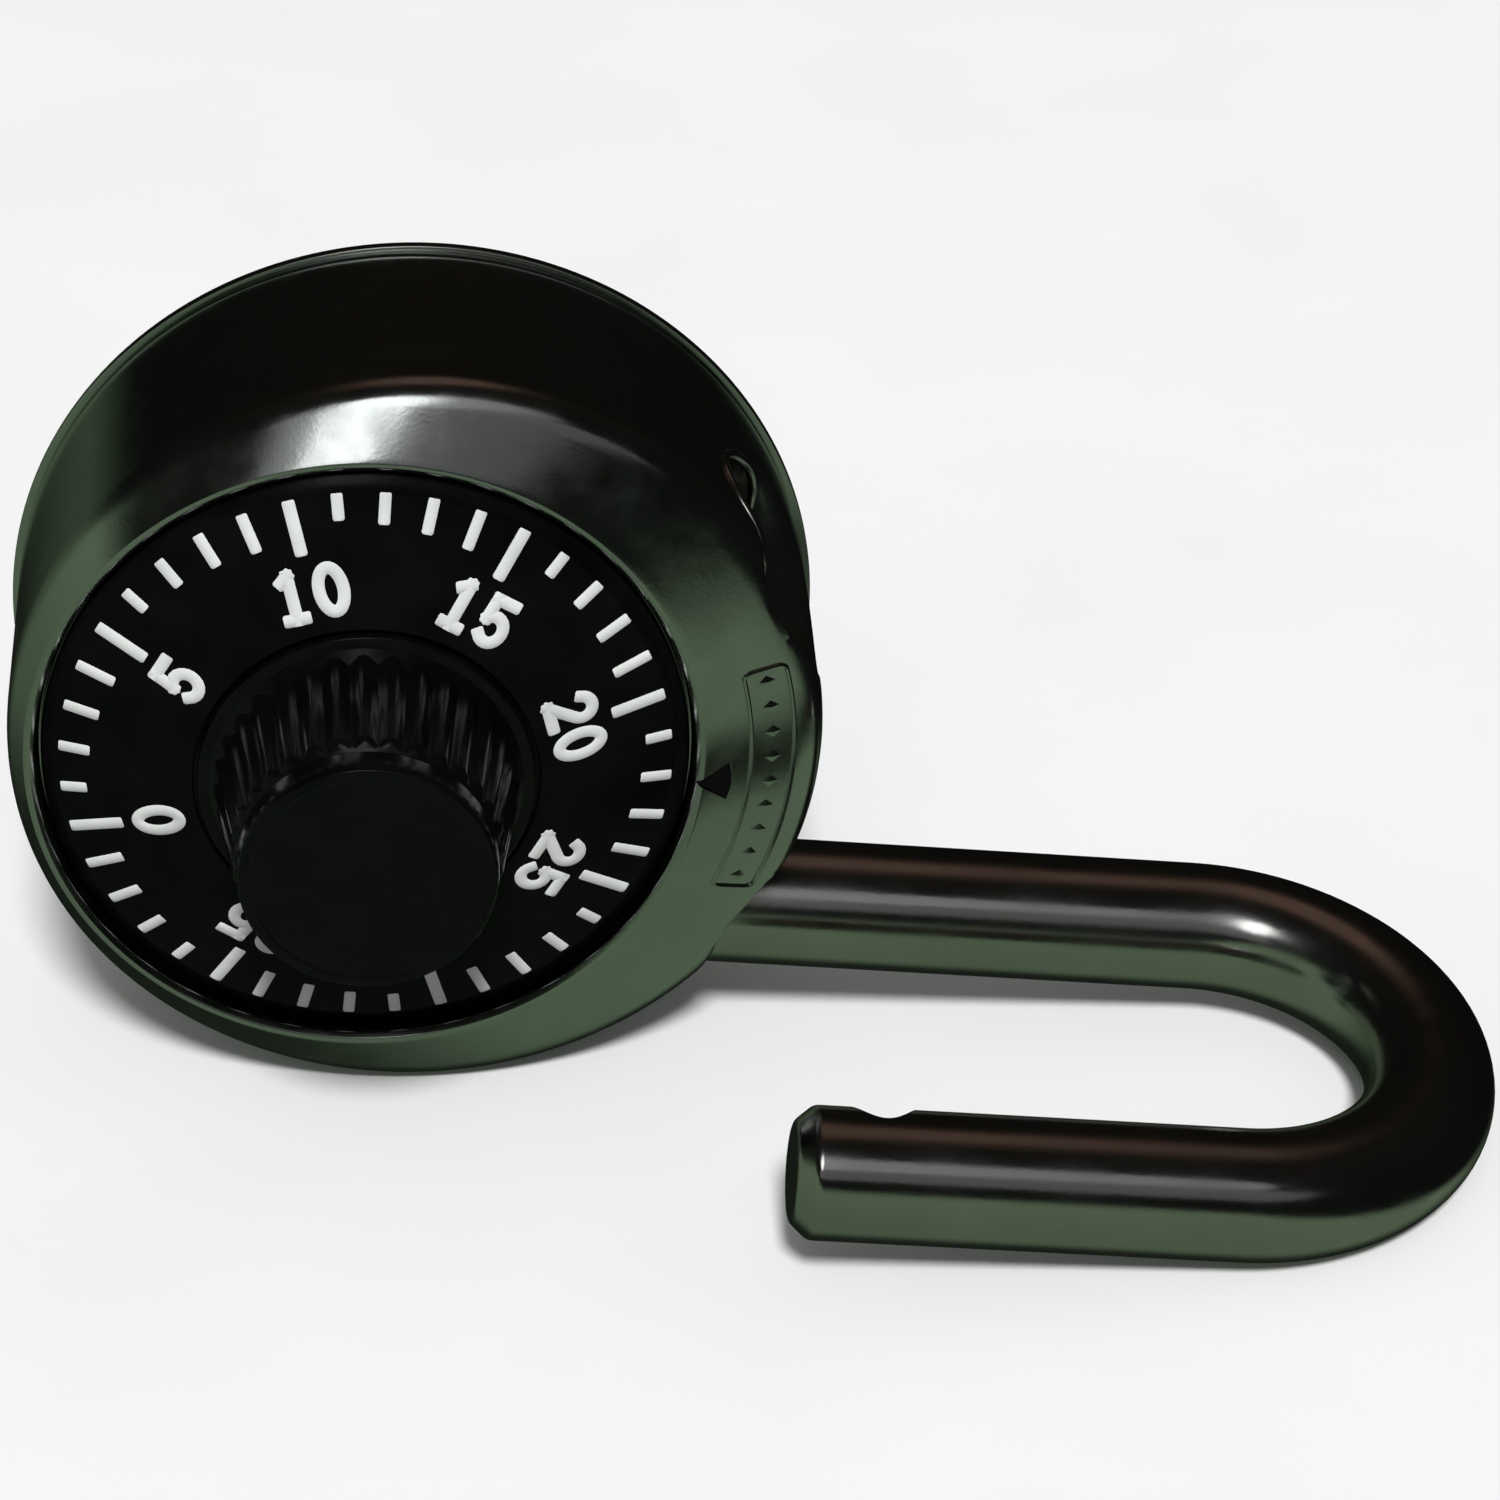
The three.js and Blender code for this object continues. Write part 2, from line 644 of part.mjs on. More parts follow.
// A notch with sloping ends across the inside of the short leg, turned a little to the back.
function latchNotch() {
  const shape = new THREE.Shape();
  shape.moveTo(-NOTCH_W / 2, 0);
  shape.lineTo(NOTCH_W / 2, 0);
  shape.lineTo(NOTCH_W / 2 + 0.9, -3);
  shape.lineTo(-NOTCH_W / 2 - 0.9, -3);
  shape.closePath();
  return plate(shape, 6, 12)
    .translate([0, 0, NOTCH_DEPTH - BAR_R])
    .rotate([NOTCH_TURN, 0, 0])
    .translate([NOTCH_X, 0, LEG_SPACING]);
}

function shackle() {
  const mesh = piece('shackle', bentBar().subtract(latchNotch()), hardenedSteel);
  mesh.position.set(0, LEG_Y, HEEL_Z);
  mesh.rotation.x = THREE.MathUtils.degToRad(SWING);
  return mesh;
}

function heelRetainer() {
  const body = snapRing(3.1, 4.6, 0, 1.1, 50).rotate([0, 140, 0]);
  const x = HEEL_X + 1.3;
  return piece('heel_retainer', alongX(body, LEG_Y, HEEL_Z).translate([x + 1.1, 0, 0]), springSteel);
}

// A sleeve behind a shackle hole, trimmed to the inside of the drum.
function legGuide(name, z, innerEnd) {
  const outerEnd = LAND_X - WALL - GAP;
  const sleeve = alongX(ring(HOLE_R - 0.1, 4.6, innerEnd, outerEnd), LEG_Y, z);
  let body = sleeve.intersect(disc(CASE_R - WALL - GAP, 0, -16.55, SIDES));
  if (z === TOE_Z) {
    body = body.subtract(box(LATCH_X - 2.2, LATCH_X + 2.2, -13, -5, 5, 12.4));
  }
  return piece(name, body, brass);
}

// ---------------------------------------------------------------- posts

const POSTS = [
  [-18.5, 6, WELL_FLOOR + WELL_T + GAP],
  [-18.5, -6, WELL_FLOOR + WELL_T + GAP],
  [19.4, 0, -16.2],
];

function platePost(number) {
  const [x, z, front] = POSTS[number - 1];
  const shoulder = PLATE_Y - PLATE_T - GAP;
  const body = turned([
    [0, PLATE_Y],
    [1, PLATE_Y],
    [1, shoulder],
    [1.6, shoulder],
    [1.6, front],
    [0, front],
  ], 20);
  return piece(`plate_post_${number}`, body.translate([x, 0, z]), zinc);
}

// ---------------------------------------------------------------- assembly

const padlock = new THREE.Group();
padlock.name = 'combination_padlock';

const caseGroup = new THREE.Group();
caseGroup.add(caseShell(), backCover(), mechanismPlate(), dialBushing());
caseGroup.add(legGuide('heel_guide', HEEL_Z, 4.8), legGuide('toe_guide', TOE_Z, 8.5));
caseGroup.add(wheelPost(), wheelRetainer(), wheelSpacer());
caseGroup.add(leverPivotPin(), leverClip(), leverSpring());
caseGroup.add(platePost(1), platePost(2), platePost(3));

// The dial and all that is fixed to it turn together.
const dialGroup = new THREE.Group();
dialGroup.add(dialDisc(), knob(), knobCap(), dialSpindle(), spindleWasher(), spindleClip());
dialGroup.add(driveCam());

const wheelGroup = new THREE.Group();
wheelGroup.add(middleWheel(), backWheel());

const leverGroup = new THREE.Group();
leverGroup.add(lockingLever(), latchPawl(), latchRivet(), latchSpring());

const shackleGroup = new THREE.Group();
shackleGroup.add(shackle(), heelRetainer());

padlock.add(caseGroup, dialGroup, wheelGroup, leverGroup, shackleGroup);

export default padlock;
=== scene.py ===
"""Looks of a combination padlock: steel case, black numbered dial, fluted knob and shackle.

Units are metres. +Y points out of the flat back, the dial faces -Y and the shackle leaves along +X.
"""

import json
import math

import bmesh
import bpy
from mathutils import Matrix, Vector


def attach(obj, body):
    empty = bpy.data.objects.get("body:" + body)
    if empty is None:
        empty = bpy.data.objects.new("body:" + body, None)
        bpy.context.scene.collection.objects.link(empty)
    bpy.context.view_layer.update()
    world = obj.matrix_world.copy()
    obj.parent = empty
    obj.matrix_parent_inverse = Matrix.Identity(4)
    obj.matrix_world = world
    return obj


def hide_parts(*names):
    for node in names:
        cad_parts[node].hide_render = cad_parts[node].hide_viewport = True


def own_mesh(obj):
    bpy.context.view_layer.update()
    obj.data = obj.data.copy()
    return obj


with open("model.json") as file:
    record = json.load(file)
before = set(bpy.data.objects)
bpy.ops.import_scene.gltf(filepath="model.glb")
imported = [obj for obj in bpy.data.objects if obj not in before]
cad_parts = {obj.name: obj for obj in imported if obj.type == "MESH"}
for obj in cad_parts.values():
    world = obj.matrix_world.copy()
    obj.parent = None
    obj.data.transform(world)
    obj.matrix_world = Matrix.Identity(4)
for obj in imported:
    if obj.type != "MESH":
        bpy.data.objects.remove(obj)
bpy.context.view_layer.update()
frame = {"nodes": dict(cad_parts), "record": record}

MM = 0.001

# ---------------------------------------------------------------- driving dimensions, millimetres

CASE_R = 24.0
WALL = 1.1
COVER_R = 24.4
SHOULDER_Y = -17.25  # where the drum's side turns into the bevel
BEVEL_R = 20.9  # inner edge of the bevel
BEVEL_Y = -19.15
BEVEL_OUT = (0.4, -0.87, 0.0)  # the way the bevel faces beside the shackle
RIM_R = 19.9  # outside of the bead round the dial
BEAD_Y = -19.8  # front of that bead
WELL_R = 19.25
WELL_FLOOR = -17.7
BUSHING_HOLE_R = 3.9
REAR_Y = -1.3  # where the drum's wall ends, at the cover
DIAL_X = -3.0  # the dial sits off centre
DIAL_R = 18.95
MARK_R = 17.9
MARK_Y = -19.4
CONE_SLOPE = 0.29
SEAT_R = 10.1
MARKS = 40
MARK_W = 0.72
MARK_ENDS = (14.67, 16.32, 16.05, 15.8, 15.56)  # inner ends, by the number's remainder in fives
ZERO_ANGLE = -108.9  # where the zero stands, clockwise from the top
DIGIT_FOOT = 10.86
DIGIT_H = 3.28
STROKE = 0.77
STROKE_ENDS = ((0.96, 0.72), (0.84, 0.93), (0.6, 1.0))  # reach and width, in half widths
# The section of a painted line: share of its half width, height over the dial.
PAINT = ((-1, -0.03), (-0.92, 0.012), (0, 0.016), (0.92, 0.012), (1, -0.03))
DIGIT_PITCH = 2.3

INDEX_TIP_X = DIAL_X + RIM_R - 0.6
INDEX_LENGTH = 2.0
INDEX_HALF = 1.3
INDEX_BOW = 0.2  # how far its base bows outwards
INDEX_FLOOR = -18.75
INDEX_SLOPE = 0.356  # of the bevel beside it
INDEX_SLOPE_X = 16.81  # where that slope starts

FLUTES = 32
FLUTE_DEPTH = 0.42
FLUTE_SOFTNESS = 0.03  # rounds the foot of a flute
FLUTE_FADE = 22  # the higher, the shorter the run-out at its ends
KNURL_FOOT_R = 8.9
KNURL_TOP_R = 7.75
KNURL_FOOT_Y = -22.0
KNURL_TOP_Y = -29.9
CAP_R = 7.45
CAP_Y = -32.3

LEG_Y = -12.0
LEG_SPACING = 26.0
BAR_R = 3.9
HOLE_R = 4.25
LIP_R = 0.3
LAND_X = 19.0
LAND_R = 6.4
LAND_STRETCH = 1.25  # how much shorter a land is along Y
LAND_EDGE = 0.6
LAND_SLOPE = 1.3
LAND_SOFTNESS = 0.5
LAND_BLEND = 1.1  # how widely a land runs out into the drum
CROWN_X = 48.9
TOE_X = 22.4
HEEL_X = 1.5
HEEL_RUN = CROWN_X - HEEL_X  # lengths along the bar
TOE_RUN = CROWN_X - TOE_X
BEND_RUN = math.pi * LEG_SPACING / 2
GROOVE = (1.0, 2.7)  # from the heel's end
GROOVE_R = 2.9
SWING = 93.3
NOTCH_X = 27.5
NOTCH_DEPTH = 1.5
NOTCH_W = 3.0
NOTCH_TURN = 30.0

BADGE_RADII = (21.45, 22.95)
BADGE_TURNS = (71.0, 111.0)  # degrees clockwise from the top
BADGE_CORNER = 0.35
BADGE_BEAD_R = 0.15
LOZENGES = 9
LOZENGE_HALF = 0.42
LOZENGE_TURN = 1.5
LOZENGE_RISE = 0.12

SPRING_X = 14.5
SPRING_Y = -8.6
SPRING_R = 1.25
WIRE_R = 0.22
SPRING_FOOT = -1.3
SPRING_TOP = 4.18

ROUND = 192  # segments round a turned piece
WIRE_SIDES = 10

CAMERA_LENS = 129.8
CAMERA_EYE = (-17.55, -288.05, 167.0)
CAMERA_RIGHT = (0.99131, -0.06648, 0.11349)
CAMERA_UP = (-0.06158, 0.52784, 0.84711)
LAMP_AIM = (0.01, -0.015, 0.0)  # in metres
KEY_DIRECTION = (0.08, 0.66, -0.75)

# ---------------------------------------------------------------- materials

NOISE_SPAN = (0.3, 0.7)  # the part of a noise's range that its values fill


def new_material(name):
    """A material with its node tree and its shader."""
    material = bpy.data.materials.new(name)
    material.use_nodes = True
    tree = material.node_tree
    return material, tree, tree.nodes["Principled BSDF"]


def noise(tree, scale, detail=4.0, stretch=(1, 1, 1)):
    """Noise fixed to the piece. `scale` is in features per metre."""
    where = tree.nodes.new("ShaderNodeTexCoord")
    mapping = tree.nodes.new("ShaderNodeMapping")
    mapping.inputs["Scale"].default_value = stretch
    texture = tree.nodes.new("ShaderNodeTexNoise")
    texture.inputs["Scale"].default_value = scale
    texture.inputs["Detail"].default_value = detail
    tree.links.new(where.outputs["Object"], mapping.inputs["Vector"])
    tree.links.new(mapping.outputs["Vector"], texture.inputs["Vector"])
    return texture.outputs["Fac"]


def ramp(tree, source, low, high):
    """Turns a noise value into a colour between low and high."""
    node = tree.nodes.new("ShaderNodeValToRGB")
    for element, position, colour in zip(node.color_ramp.elements, NOISE_SPAN, (low, high)):
        element.position = position
        element.color = (*colour, 1)
    tree.links.new(source, node.inputs["Fac"])
    return node.outputs["Color"]


def spread(tree, source, low, high):
    """Turns a noise value into a number between low and high."""
    node = tree.nodes.new("ShaderNodeMapRange")
    node.inputs["From Min"].default_value = NOISE_SPAN[0]
    node.inputs["From Max"].default_value = NOISE_SPAN[1]
    node.inputs["To Min"].default_value = low
    node.inputs["To Max"].default_value = high
    tree.links.new(source, node.inputs["Value"])
    return node.outputs["Result"]


def bump(tree, shader, height, strength, distance):
    """Raises the shaded surface by a height value, `distance` metres at most."""
    node = tree.nodes.new("ShaderNodeBump")
    node.inputs["Strength"].default_value = strength
    node.inputs["Distance"].default_value = distance
    tree.links.new(height, node.inputs["Height"])
    tree.links.new(node.outputs["Normal"], shader.inputs["Normal"])


def metal(name, low, high, rough, grain, stretch=(1, 1, 1), strength=0.1):
    """Metal with a cloudy tone, uneven polish and a fine grain of scratches."""
    material, tree, shader = new_material(name)
    shader.inputs["Metallic"].default_value = 1.0
    cloud = noise(tree, 90)
    tree.links.new(ramp(tree, cloud, low, high), shader.inputs["Base Color"])
    smear = noise(tree, 420, 6, stretch)
    tree.links.new(spread(tree, smear, *rough), shader.inputs["Roughness"])
    bump(tree, shader, noise(tree, grain, 5, stretch), strength, 0.00002)
    return material


def plastic(name, low, high, rough, strength, gloss=0.5):
    """Moulded plastic with a fine pebbled skin that glints under a lamp."""
    material, tree, shader = new_material(name)
    shader.inputs["Specular IOR Level"].default_value = gloss
    tree.links.new(ramp(tree, noise(tree, 300), low, high), shader.inputs["Base Color"])
    tree.links.new(spread(tree, noise(tree, 900), *rough), shader.inputs["Roughness"])
    bump(tree, shader, noise(tree, 2600, 3), strength, 0.00003)
    return material


NEAR_BLACK = ((0.0012, 0.0012, 0.0014), (0.0026, 0.0026, 0.0028))
BRIGHT_STEEL = ((0.50, 0.53, 0.50), (0.60, 0.62, 0.60))

case_steel = metal("case_steel", *BRIGHT_STEEL, (0.13, 0.24), 4200, strength=0.16)
cover_steel = metal("cover_steel", *BRIGHT_STEEL, (0.14, 0.26), 2500, (0.2, 1, 1))
shackle_steel = metal(
    "shackle_steel", (0.5, 0.5, 0.48), (0.6, 0.59, 0.57), (0.13, 0.25), 3600, (0.4, 1, 1), 0.2
)
plate_steel = metal(
    "plate_steel", (0.55, 0.56, 0.57), (0.66, 0.67, 0.68), (0.3, 0.42), 2200, (0.1, 1, 1)
)
hard_steel = metal("hard_steel", (0.42, 0.42, 0.42), (0.52, 0.52, 0.52), (0.22, 0.36), 2400)
spring_steel = metal("spring_steel", (0.38, 0.39, 0.41), (0.5, 0.51, 0.53), (0.22, 0.34), 2600)
wheel_brass = metal("wheel_brass", (0.68, 0.47, 0.17), (0.78, 0.58, 0.25), (0.24, 0.4), 2000)
zinc = metal("zinc", (0.52, 0.53, 0.55), (0.64, 0.65, 0.66), (0.32, 0.46), 1800)
dial_black = plastic("dial_black", *NEAR_BLACK, (0.16, 0.26), 0.2, 0.12)
knob_black = plastic("knob_black", *NEAR_BLACK, (0.16, 0.24), 0.06, 0.22)
white_paint = plastic("white_paint", (0.56, 0.58, 0.56), (0.68, 0.7, 0.68), (0.4, 0.55), 0.2, 0.3)
black_enamel = plastic(
    "black_enamel", (0.002, 0.002, 0.002), (0.004, 0.004, 0.004), (0.35, 0.5), 0.3, 0.1
)

# ---------------------------------------------------------------- mesh helpers


def filleted(corners, steps=5):
    """An outline from (radius, y, fillet, ...) corners, each rounded by its fillet.

    Extra values that follow the fillet are carried along.
    """
    out = []
    count = len(corners)
    for i, corner in enumerate(corners):
        here = Vector(corner[:2])
        extra = tuple(corner[3:])
        before = Vector(corners[i - 1][:2]) - here
        after = Vector(corners[(i + 1) % count][:2]) - here
        reach = min(corner[2], 0.49 * before.length, 0.49 * after.length)
        if reach <= 0:
            out.append((here.x, here.y, *extra))
            continue
        start = here + before.normalized() * reach
        end = here + after.normalized() * reach
        for step in range(steps + 1):
            t = step / steps
            spot = start * (1 - t) ** 2 + here * 2 * t * (1 - t) + end * t * t
            out.append((spot.x, spot.y, *extra))
    return out


def grid(bm, rows, closed=True):
    """Skins rings of equally many points. With `closed` the last ring joins the first."""
    rings = [[bm.verts.new(p) for p in row] for row in rows]
    pairs = list(zip(rings, rings[1:]))
    if closed:
        pairs.append((rings[-1], rings[0]))
    for a, b in pairs:
        count = len(a)
        for i in range(count):
            j = (i + 1) % count
            bm.faces.new((a[i], a[j], b[j], b[i]))
    return rings


def cap(bm, ring):
    """Closes a ring with a fan."""
    centre = bm.verts.new(sum((v.co for v in ring), Vector()) / len(ring))
    for i, v in enumerate(ring):
        bm.faces.new((v, ring[(i + 1) % len(ring)], centre))


def around(radius, y, x, count):
    """A ring about the Y axis, in millimetres."""
    turn = 2 * math.pi / count
    return [
        (x + radius * math.sin(turn * i), y, radius * math.cos(turn * i)) for i in range(count)
    ]


def lathe(outline):
    """A turned ring about the dial's axis, from a closed outline of [radius, y]."""
    bm = bmesh.new()
    grid(bm, [around(r, y, DIAL_X, ROUND) for r, y in outline])
    return bm


def turned(outline, x=DIAL_X, count=ROUND):
    """A turned solid about the Y axis through x. Its outline starts and ends near the axis."""
    bm = bmesh.new()
    rings = grid(bm, [around(r, y, x, count) for r, y in outline], closed=False)
    cap(bm, rings[0])
    cap(bm, rings[-1])
    return bm


def link_mesh(bm, name):
    """Moves a mesh into a new object of the scene."""
    mesh = bpy.data.meshes.new(name)
    bm.to_mesh(mesh)
    bm.free()
    piece = bpy.data.objects.new(name, mesh)
    bpy.context.scene.collection.objects.link(piece)
    return piece


def in_metres(bm):
    """Turns millimetres into metres."""
    bmesh.ops.scale(bm, vec=(MM, MM, MM), verts=bm.verts)


def to_object(bm, name, material, body, sharp=32.0):
    """Makes a shaded piece from a mesh in millimetres and rides it on a body."""
    in_metres(bm)
    bmesh.ops.recalc_face_normals(bm, faces=bm.faces)
    piece = link_mesh(bm, name)
    piece.data.materials.append(material)
    shade(piece, sharp)
    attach(piece, body)
    return piece


def shade(piece, sharp):
    """Smooth faces, with a crease wherever two faces meet at more than `sharp` degrees."""
    bm = bmesh.new()
    bm.from_mesh(piece.data)
    for face in bm.faces:
        face.smooth = True
    for edge in bm.edges:
        if len(edge.link_faces) == 2:
            edge.smooth = edge.calc_face_angle(0) < math.radians(sharp)
    bm.to_mesh(piece.data)
    bm.free()


def carve(piece, cutters, sharp):
    """Cuts the cutters, given as bmeshes in millimetres, out of a piece."""
    for bm in cutters:
        in_metres(bm)
        bmesh.ops.recalc_face_normals(bm, faces=bm.faces)
        tool = link_mesh(bm, "cutter")
        cut = piece.modifiers.new("cut", "BOOLEAN")
        cut.operation = "DIFFERENCE"
        cut.solver = "EXACT"
        cut.object = tool
        bpy.context.view_layer.update()
        graph = bpy.context.evaluated_depsgraph_get()
        result = bpy.data.meshes.new_from_object(piece.evaluated_get(graph))
        piece.modifiers.clear()
        piece.data = result
        bpy.data.objects.remove(tool)
    shade(piece, sharp)


def prism(outline, y0, y1):
    """A closed prism along Y from an outline of [x, z]."""
    bm = bmesh.new()
    rings = grid(bm, [[(x, y, z) for x, z in outline] for y in (y0, y1)], closed=False)
    cap(bm, rings[0])
    cap(bm, rings[1])
    return bm


def aim_x(bm, y, z):
    """Turns a solid about the Y axis into one about an axis along X, through y and z."""
    bm.transform(Matrix.Translation((0, y, z)) @ Matrix.Rotation(math.radians(-90), 4, "Z"))
    return bm


# ---------------------------------------------------------------- case


def smooth_min(a, b, k):
    """The lower of two values, blended where they differ by less than k."""
    h = max(k - abs(a - b), 0) / k
    return min(a, b) - h * h * k / 4


def land(y, z, base, radius):
    """How far out the dished land round the nearer shackle hole lets the case reach."""
    from_leg = math.hypot(LAND_STRETCH * (y - LEG_Y), abs(z) - LEG_SPACING / 2)
    away = from_leg - radius - LAND_EDGE
    return base + LAND_SLOPE * (math.hypot(away, LAND_SOFTNESS) + away)


def case_angles():
    """Angles round the case, clockwise from the top, close together on the side of the shackle."""
    angles = []
    angle = -90.0
    while angle < 270.0:
        angles.append(math.radians(angle))
        angle += 0.3 if 36 <= angle < 144 else 1.2
    return angles


def case_point(radius, y, lean, angle):
    """A point of the case before the lands are dished. `lean` slides it towards the dial's axis."""
    return Vector((DIAL_X * lean + radius * math.sin(angle), y, radius * math.cos(angle)))


def lean_at(radius):
    """How much of the dial's offset the bevel has taken on at a radius."""
    return min(1.0, max(0.0, (CASE_R - radius) / (CASE_R - RIM_R)))


def case_outline():
    """Closed outline of the case wall: [radius, y, lean, side], where side is 1 outside.

    Its corners are (radius, y, fillet, lean, side).
    """
    outside = [
        (CASE_R - 0.5, REAR_Y, 0.0, 0.0, 1),
        (CASE_R, REAR_Y, 0.25, 0.0, 1),
        (CASE_R, SHOULDER_Y, 1.25, 0.0, 1),
        (BEVEL_R, BEVEL_Y, 0.8, 0.0, 1),
        (19.85, BEAD_Y, 0.35, 0.0, 1),
        (19.6, BEAD_Y, 0.1, 0.0, 1),
        (WELL_R, -19.45, 0.15, 0.0, 1),
        (WELL_R, WELL_FLOOR, 0.2, 0.0, 0),
        (BUSHING_HOLE_R, WELL_FLOOR, 0.0, 0.0, 0),
    ]
    inside = [
        (BUSHING_HOLE_R, WELL_FLOOR + 0.8, 0.0, 1.0, 0),
        (18.6, WELL_FLOOR + 0.8, 0.4, 1.0, 0),
        (20.2, -16.5, 0.3, 0.75, 0),
        (CASE_R - WALL, -15.2, 0.8, 0.0, 0),
        (CASE_R - WALL, REAR_Y, 0.1, 0.0, 0),
    ]
    rounded = filleted(outside + inside)
    fine = []
    for i, here in enumerate(rounded):
        ahead = rounded[(i + 1) % len(rounded)]
        length = math.hypot(ahead[0] - here[0], ahead[1] - here[1])
        longest = 0.27 if here[3] and ahead[3] else 3
        parts = max(1, math.ceil(length / longest))
        for part in range(parts):
            t = part / parts
            between = [a + (b - a) * t for a, b in zip(here[:3], ahead[:3])]
            fine.append((*between, here[3]))
    return fine


def case_skin():
    """The drum with its bevel, bead, dial well, dished lands, shackle holes and index recess."""
    bm = bmesh.new()
    rows = []
    angles = case_angles()
    for radius, y, lean, side in case_outline():
        if side or y < WELL_FLOOR + 0.05:
            lean = lean_at(radius)
        row = []
        for angle in angles:
            spot = case_point(radius, y, lean, angle)
            if spot.x > 10:
                if side:
                    limit = land(y, spot.z, LAND_X, LAND_R)
                else:
                    limit = land(y, spot.z, LAND_X - WALL, LAND_R + WALL)
                spot.x = smooth_min(spot.x, limit, LAND_BLEND)
            row.append(spot)
        rows.append(row)
    grid(bm, rows)
    piece = to_object(bm, "case_skin", case_steel, "case")
    holes = []
    for side in (-1, 1):
        bore = turned([(HOLE_R, 12), (HOLE_R, 30)], 0, 72)
        holes.append(aim_x(bore, LEG_Y, side * LEG_SPACING / 2))
    carve(piece, [*holes, prism(index_outline(0), INDEX_FLOOR, -22)], 32)
    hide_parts("case_shell")


def index_outline(inset):
    """The index mark: a wedge whose tip points at the dial, drawn in by `inset` all round."""
    base = INDEX_TIP_X + INDEX_LENGTH - inset
    half = INDEX_HALF - inset
    edge = [(INDEX_TIP_X + 2 * inset, 0), (base, -half)]
    for step in range(1, 8):
        across = step / 4 - 1
        edge.append((base + INDEX_BOW * (1 - across ** 2), half * across))
    edge.append((base, half))
    return edge


def bevel_y(x):
    """Height of the bevel beside the index mark."""
    return BEAD_Y + INDEX_SLOPE * max(0.0, x - INDEX_SLOPE_X)


def index_paint():
    """Black enamel in the index mark, a little below the bevel."""
    outline = index_outline(0.04)
    bm = bmesh.new()
    back = [(x, INDEX_FLOOR - 0.01, z) for x, z in outline]
    front = [(x, bevel_y(x) + 0.1, z) for x, z in outline]
    rings = grid(bm, [back, front], closed=False)
    cap(bm, rings[0])
    cap(bm, rings[1])
    to_object(bm, "index_paint", black_enamel, "case")


def tube(bm, spots, out, radius, sides=10):
    """A closed loop of round bead through the spots. `out` is roughly square to the loop."""
    rows = []
    count = len(spots)
    for i, spot in enumerate(spots):
        ahead = (spots[(i + 1) % count] - spots[i - 1]).normalized()
        side = ahead.cross(out).normalized()
        up = side.cross(ahead).normalized()
        row = []
        for step in range(sides):
            angle = 2 * math.pi * step / sides
            across = side * (radius * math.cos(angle))
            row.append(spot + across + up * (radius * math.sin(angle)))
        rows.append(row)
    grid(bm, rows)


def hole_lip(name, middle):
    """The rolled edge of a shackle hole, following the drum and its land."""
    spots = []
    for step in range(120):
        angle = 2 * math.pi * step / 120
        y = LEG_Y + HOLE_R * math.cos(angle)
        z = middle + HOLE_R * math.sin(angle)
        drum_x = math.sqrt(CASE_R ** 2 - z * z)
        x = smooth_min(drum_x, land(y, z, LAND_X, LAND_R), LAND_BLEND)
        spots.append(Vector((x - 0.1, y, z)))
    bm = bmesh.new()
    tube(bm, spots, Vector((1, 0, 0)), LIP_R)
    to_object(bm, name, case_steel, "case", 60)


def on_bevel(radius, turn):
    """A point of the bevel, `turn` degrees clockwise from the top."""
    slope = (SHOULDER_Y - BEVEL_Y) / (CASE_R - BEVEL_R)
    y = BEVEL_Y + (radius - BEVEL_R) * slope
    return case_point(radius, y, lean_at(radius), math.radians(turn))


def bevel_badge():
    """A plain raised border with a row of lozenges on the wide side of the bevel."""
    low, high = BADGE_RADII
    first, last = BADGE_TURNS
    bend = math.degrees(BADGE_CORNER / low)
    path = []
    for radius, turn, start in (
        (high - BADGE_CORNER, last - bend, 0),
        (low + BADGE_CORNER, last - bend, 90),
        (low + BADGE_CORNER, first + bend, 180),
        (high - BADGE_CORNER, first + bend, 270),
    ):
        for step in range(7):
            angle = math.radians(start + 15 * step)
            reach = BADGE_CORNER * math.cos(angle)
            path.append((radius + reach, turn + bend * math.sin(angle)))
    spots = []
    for i, (radius, turn) in enumerate(path):
        ahead = path[(i + 1) % len(path)]
        parts = 40 if abs(ahead[1] - turn) > 5 else 1
        for part in range(parts):
            t = part / parts
            spots.append(on_bevel(radius + (ahead[0] - radius) * t, turn + (ahead[1] - turn) * t))
    out = Vector(BEVEL_OUT).normalized()
    bm = bmesh.new()
    tube(bm, spots, out, BADGE_BEAD_R, 8)
    middle = (low + high) / 2
    for i in range(LOZENGES):
        turn = first + (last - first) * (i + 0.5) / LOZENGES
        rim = [
            on_bevel(middle + LOZENGE_HALF, turn),
            on_bevel(middle, turn + LOZENGE_TURN),
            on_bevel(middle - LOZENGE_HALF, turn),
            on_bevel(middle, turn - LOZENGE_TURN),
        ]
        foot = [bm.verts.new(p - out * 0.05) for p in rim]
        peak = bm.verts.new(on_bevel(middle, turn) + out * LOZENGE_RISE)
        for a, b in zip(foot, foot[1:] + foot[:1]):
            bm.faces.new((a, b, peak))
        bm.faces.new(foot)
    to_object(bm, "bevel_badge", case_steel, "case", 30)


def cover_skin():
    """The rear cover: a plain disc with a rolled edge and a shallow pressed ring."""
    outline = filleted([
        (0.01, 0.0, 0.0),
        (17.6, 0.0, 0.2),
        (18.0, -0.18, 0.2),
        (19.4, -0.18, 0.2),
        (19.8, 0.0, 0.2),
        (COVER_R - 0.3, 0.0, 0.35),
        (COVER_R, -0.35, 0.3),
        (COVER_R, -0.95, 0.12),
        (22.5, -1.0, 0.1),
        (22.5, -3.2, 0.1),
        (21.7, -3.2, 0.1),
        (21.7, -1.0, 0.1),
        (0.01, -1.0, 0.0),
    ])
    bm = turned(outline[1:-1], 0)
    piece = to_object(bm, "cover_skin", cover_steel, "case")
    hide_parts("back_cover")


# ---------------------------------------------------------------- dial


